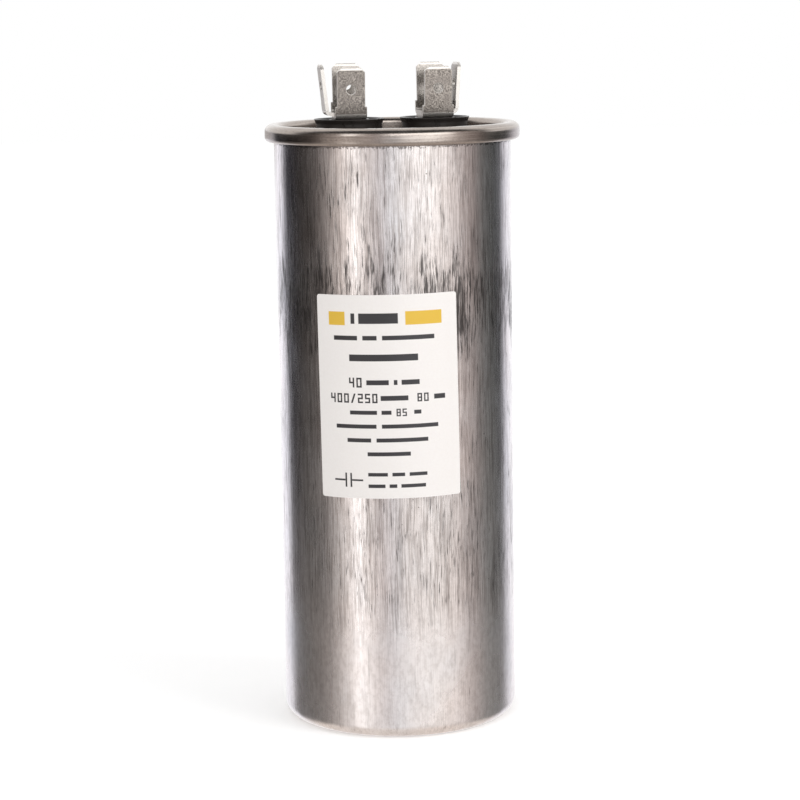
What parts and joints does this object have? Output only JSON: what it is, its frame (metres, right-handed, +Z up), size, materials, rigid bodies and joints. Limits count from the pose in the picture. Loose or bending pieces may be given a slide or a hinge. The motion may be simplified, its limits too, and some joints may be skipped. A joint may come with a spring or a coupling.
{
  "type": "motor run capacitor",
  "caption": "Round aluminium-can capacitor for running a motor, with a double-seamed sunk lid and two insulated terminals of upright quick-connect blades.",
  "frame": {"origin": "centre of the can's standing face", "axes": "+Z up along the can's axis; +X from the left terminal to the right one; -Y is the front, where the label is"},
  "size_m": [0.058, 0.058, 0.1504],
  "materials": {
    "drawn_aluminium": "satin, drawn, with streaks",
    "seamed_steel": "satin, tin plated",
    "sealing_compound": "matte",
    "label_stock": "semi-gloss coated paper",
    "black_moulding": "satin",
    "black_rubber": "matte",
    "phenolic_paper": "matte",
    "tinned_brass": "mottled tin plate",
    "tinned_rivet": "tin plate",
    "deck_plastic": "moulded",
    "tinned_copper": "tinned copper strip",
    "cap_plastic": "moulded",
    "metallised_film": "wound film",
    "core_plastic": "extruded",
    "sprayed_zinc": "flame sprayed, rough",
    "wrap_paper": "oiled insulating wrap"
  },
  "bodies": {
    "root": {"can": "drawn_aluminium", "lid": "seamed_steel", "seam_seal": "sealing_compound", "label": "label_stock", "insulator_left": "black_moulding", "insulator_right": "black_moulding", "gasket_left": "black_rubber", "gasket_right": "black_rubber", "inner_washer_left": "phenolic_paper", "inner_washer_right": "phenolic_paper", "lower_blade_left": "tinned_brass", "lower_blade_right": "tinned_brass", "upper_blades_left": "tinned_brass", "upper_blades_right": "tinned_brass", "rivet_left": "tinned_rivet", "rivet_right": "tinned_rivet", "interrupter_deck": "deck_plastic", "lead_left": "tinned_copper", "lead_right": "tinned_copper", "spacer_ring": "cap_plastic", "top_cap": "cap_plastic", "bottom_cap": "cap_plastic", "winding": "metallised_film", "core_tube": "core_plastic", "top_spray": "sprayed_zinc", "bottom_spray": "sprayed_zinc", "winding_wrap": "wrap_paper"}
  },
  "joints": []
}
